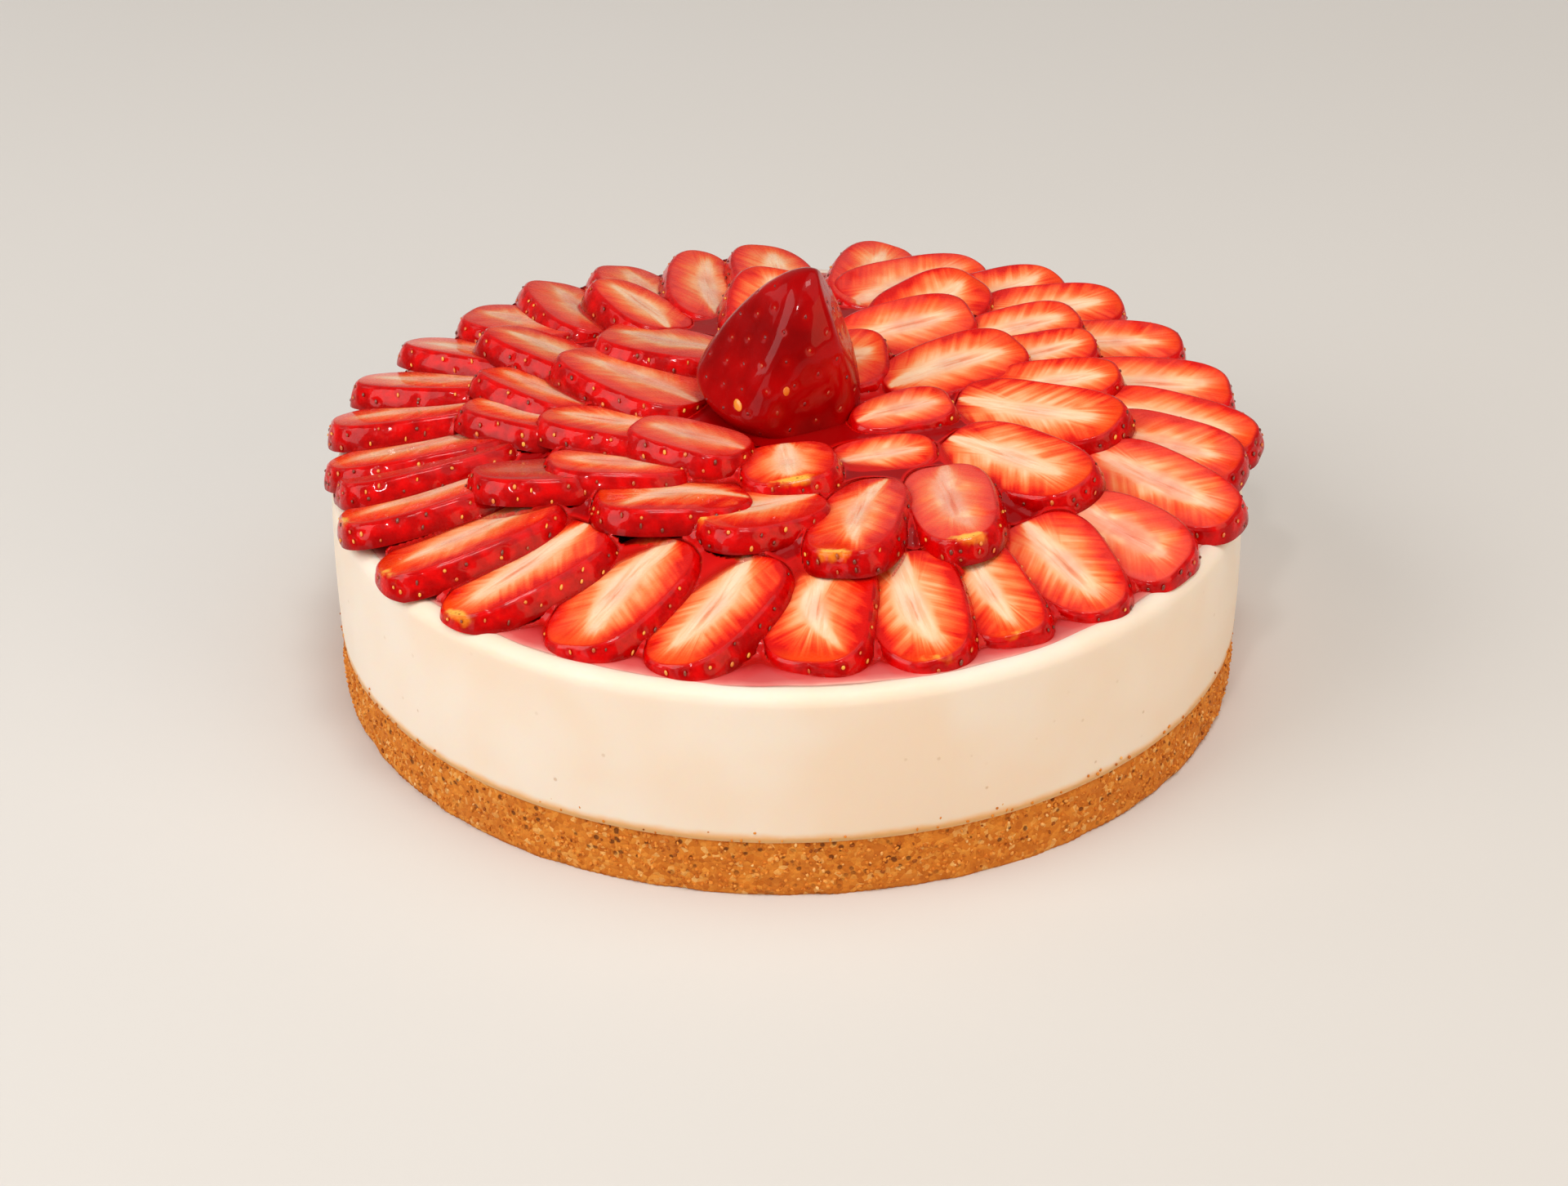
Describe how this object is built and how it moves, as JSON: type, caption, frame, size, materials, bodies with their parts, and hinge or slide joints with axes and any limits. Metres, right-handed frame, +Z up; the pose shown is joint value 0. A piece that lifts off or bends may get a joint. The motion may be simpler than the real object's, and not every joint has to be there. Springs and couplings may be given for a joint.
{
  "type": "strawberry cheesecake",
  "caption": "Round cheesecake on a crumb base, covered with overlapping glazed strawberry slices and topped by a whole strawberry.",
  "frame": {"origin": "middle of the cake's underside, on the surface that it rests on", "axes": "+Z up along the cake's axis, -Y towards the picture's viewer, +X to the viewer's right"},
  "size_m": [0.2051, 0.2, 0.0911],
  "materials": {
    "crumb": "pressed biscuit crumb, rough and crumbly, golden brown with darker specks",
    "filling": "smooth pale cream cheese filling, satin, with faint pores",
    "berry_skin": "deep red strawberry skin with sunken seeds under a wet glaze",
    "berry_flesh": "cut strawberry flesh under a wet glaze: red rim, orange flesh, pale core"
  },
  "bodies": {
    "root": {"crumb_base": "crumb", "cheese_filling": "filling", "whole_strawberry": "berry_skin", "slice_outer_01": "berry_flesh", "slice_outer_02": "berry_flesh", "slice_outer_03": "berry_flesh", "slice_outer_04": "berry_flesh", "slice_outer_05": "berry_flesh", "slice_outer_06": "berry_flesh", "slice_outer_07": "berry_flesh", "slice_outer_08": "berry_flesh", "slice_outer_09": "berry_flesh", "slice_outer_10": "berry_flesh", "slice_outer_11": "berry_flesh", "slice_outer_12": "berry_flesh", "slice_outer_13": "berry_flesh", "slice_outer_14": "berry_flesh", "slice_outer_15": "berry_flesh", "slice_outer_16": "berry_flesh", "slice_outer_17": "berry_flesh", "slice_outer_18": "berry_flesh", "slice_outer_19": "berry_flesh", "slice_outer_20": "berry_flesh", "slice_outer_21": "berry_flesh", "slice_outer_22": "berry_flesh", "slice_outer_23": "berry_flesh", "slice_outer_24": "berry_flesh", "slice_outer_25": "berry_flesh", "slice_outer_26": "berry_flesh", "slice_outer_27": "berry_flesh", "slice_outer_28": "berry_flesh", "slice_outer_29": "berry_flesh", "slice_middle_01": "berry_flesh", "slice_middle_02": "berry_flesh", "slice_middle_03": "berry_flesh", "slice_middle_04": "berry_flesh", "slice_middle_05": "berry_flesh", "slice_middle_06": "berry_flesh", "slice_middle_07": "berry_flesh", "slice_middle_08": "berry_flesh", "slice_middle_09": "berry_flesh", "slice_middle_10": "berry_flesh", "slice_middle_11": "berry_flesh", "slice_middle_12": "berry_flesh", "slice_middle_13": "berry_flesh", "slice_middle_14": "berry_flesh", "slice_middle_15": "berry_flesh", "slice_middle_16": "berry_flesh", "slice_inner_01": "berry_flesh", "slice_inner_02": "berry_flesh", "slice_inner_03": "berry_flesh", "slice_inner_04": "berry_flesh", "slice_inner_05": "berry_flesh", "slice_inner_06": "berry_flesh", "slice_inner_07": "berry_flesh", "slice_inner_08": "berry_flesh", "slice_inner_09": "berry_flesh", "slice_inner_10": "berry_flesh", "slice_inner_11": "berry_flesh", "slice_inner_12": "berry_flesh"}
  },
  "joints": []
}
